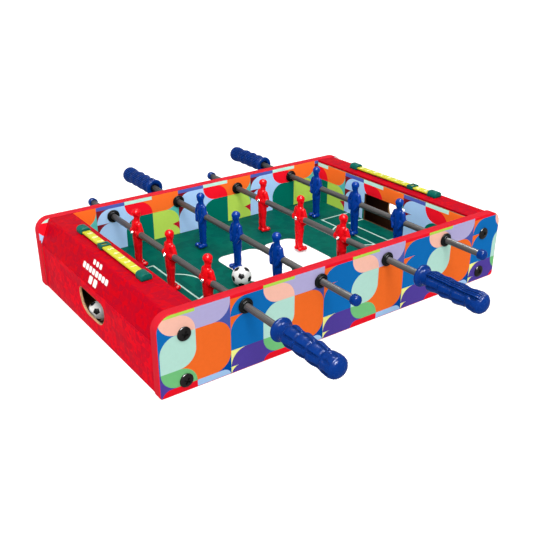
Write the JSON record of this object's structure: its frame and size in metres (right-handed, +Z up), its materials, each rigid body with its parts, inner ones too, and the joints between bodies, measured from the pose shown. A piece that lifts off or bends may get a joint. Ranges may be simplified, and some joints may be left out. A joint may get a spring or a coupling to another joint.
{
  "type": "tabletop foosball",
  "caption": "Small table football game: printed box with a pitch, goals, ball returns and score rails, and four sliding, turning rods with players, handles and end caps.",
  "frame": {"origin": "middle of the underside, on the surface that the table stands on", "axes": "+Z up; +X along the table towards its right-hand goal, seen from the front; -Y is the front, where the first and third rods have their handles"},
  "size_m": [0.512, 0.6355, 0.1085],
  "materials": {
    "side_panel_print": "printed gloss film over fibreboard, with a glossy red edge band",
    "red_board": "red printed semi-gloss film over thin fibreboard",
    "goal_wall_print": "printed semi-gloss film over thin fibreboard",
    "pitch_print": "green printed satin film over thin fibreboard",
    "raw_board": "bare brown fibreboard",
    "rod_steel": "dull grey plated steel tube",
    "black_plastic": "black moulded plastic, satin",
    "red_plastic": "red moulded plastic, gloss",
    "blue_plastic": "blue moulded plastic, gloss",
    "rail_yellow": "yellow moulded bar with pale marks and green ends",
    "marker_green": "green moulded plastic, gloss",
    "ball_plastic": "white plastic ball with black pentagons"
  },
  "bodies": {
    "table": {"front_side_panel": "side_panel_print", "rear_side_panel": "side_panel_print", "playfield_board": "pitch_print", "base_board": "raw_board", "left_end_cover": "red_board", "left_end_wall": "red_board", "left_goal_wall": "goal_wall_print", "front_left_corner_block": "raw_board", "rear_left_corner_block": "raw_board", "right_end_cover": "red_board", "right_end_wall": "red_board", "right_goal_wall": "goal_wall_print", "front_right_corner_block": "raw_board", "rear_right_corner_block": "raw_board", "front_left_lower_bolt": "black_plastic", "front_left_upper_bolt": "black_plastic", "rear_left_lower_bolt": "black_plastic", "rear_left_upper_bolt": "black_plastic", "front_right_lower_bolt": "black_plastic", "front_right_upper_bolt": "black_plastic", "rear_right_lower_bolt": "black_plastic", "rear_right_upper_bolt": "black_plastic", "left_score_rail": "rail_yellow", "right_score_rail": "rail_yellow"},
    "rod_1_bushings": {"rod_1_front_bushing": "black_plastic", "rod_1_rear_bushing": "black_plastic"},
    "rod_1_players": {"rod_1": "rod_steel", "rod_1_handle": "blue_plastic", "rod_1_end_cap": "blue_plastic", "rod_1_player_1": "red_plastic", "rod_1_player_2": "red_plastic", "rod_1_player_3": "red_plastic"},
    "rod_2_bushings": {"rod_2_front_bushing": "black_plastic", "rod_2_rear_bushing": "black_plastic"},
    "rod_2_players": {"rod_2": "rod_steel", "rod_2_handle": "blue_plastic", "rod_2_end_cap": "blue_plastic", "rod_2_player_1": "blue_plastic", "rod_2_player_2": "blue_plastic", "rod_2_player_3": "blue_plastic"},
    "rod_3_bushings": {"rod_3_front_bushing": "black_plastic", "rod_3_rear_bushing": "black_plastic"},
    "rod_3_players": {"rod_3": "rod_steel", "rod_3_handle": "blue_plastic", "rod_3_end_cap": "blue_plastic", "rod_3_player_1": "red_plastic", "rod_3_player_2": "red_plastic", "rod_3_player_3": "red_plastic"},
    "rod_4_bushings": {"rod_4_front_bushing": "black_plastic", "rod_4_rear_bushing": "black_plastic"},
    "rod_4_players": {"rod_4": "rod_steel", "rod_4_handle": "blue_plastic", "rod_4_end_cap": "blue_plastic", "rod_4_player_1": "blue_plastic", "rod_4_player_2": "blue_plastic", "rod_4_player_3": "blue_plastic"},
    "left_score_slider": {"left_score_slider": "marker_green"},
    "right_score_slider": {"right_score_slider": "marker_green"},
    "pitch_ball": {"pitch_ball": "ball_plastic"},
    "tray_ball": {"tray_ball": "ball_plastic"}
  },
  "joints": [
    {"name": "rod_1_spin", "type": "hinge", "parent": "table", "child": "rod_1_bushings", "pos_m": [-0.1515, 0, 0.077], "axis": [0, 1, 0], "continuous": true},
    {"name": "rod_1_slide", "type": "slide", "parent": "rod_1_bushings", "child": "rod_1_players", "axis": [0, 1, 0], "range_m": [-0.0445, 0.0535]},
    {"name": "rod_2_spin", "type": "hinge", "parent": "table", "child": "rod_2_bushings", "pos_m": [-0.0505, 0, 0.077], "axis": [0, 1, 0], "continuous": true},
    {"name": "rod_2_slide", "type": "slide", "parent": "rod_2_bushings", "child": "rod_2_players", "axis": [0, 1, 0], "range_m": [-0.0505, 0.0475]},
    {"name": "rod_3_spin", "type": "hinge", "parent": "table", "child": "rod_3_bushings", "pos_m": [0.0505, 0, 0.077], "axis": [0, 1, 0], "continuous": true},
    {"name": "rod_3_slide", "type": "slide", "parent": "rod_3_bushings", "child": "rod_3_players", "axis": [0, 1, 0], "range_m": [-0.05, 0.048]},
    {"name": "rod_4_spin", "type": "hinge", "parent": "table", "child": "rod_4_bushings", "pos_m": [0.1515, 0, 0.077], "axis": [0, 1, 0], "continuous": true},
    {"name": "rod_4_slide", "type": "slide", "parent": "rod_4_bushings", "child": "rod_4_players", "axis": [0, 1, 0], "range_m": [-0.051, 0.047]},
    {"name": "left_score_slide", "type": "slide", "parent": "table", "child": "left_score_slider", "axis": [0, 1, 0], "range_m": [-0.0873, 0.0473]},
    {"name": "right_score_slide", "type": "slide", "parent": "table", "child": "right_score_slider", "axis": [0, 1, 0], "range_m": [-0.0278, 0.1068]},
    {"name": "pitch_ball_lift", "type": "slide", "parent": "table", "child": "pitch_ball", "axis": [0, 0, 1], "range_m": [0, 0.09]},
    {"name": "tray_ball_roll", "type": "slide", "parent": "table", "child": "tray_ball", "axis": [0, 1, 0], "range_m": [-0.1415, 0.0995]}
  ]
}
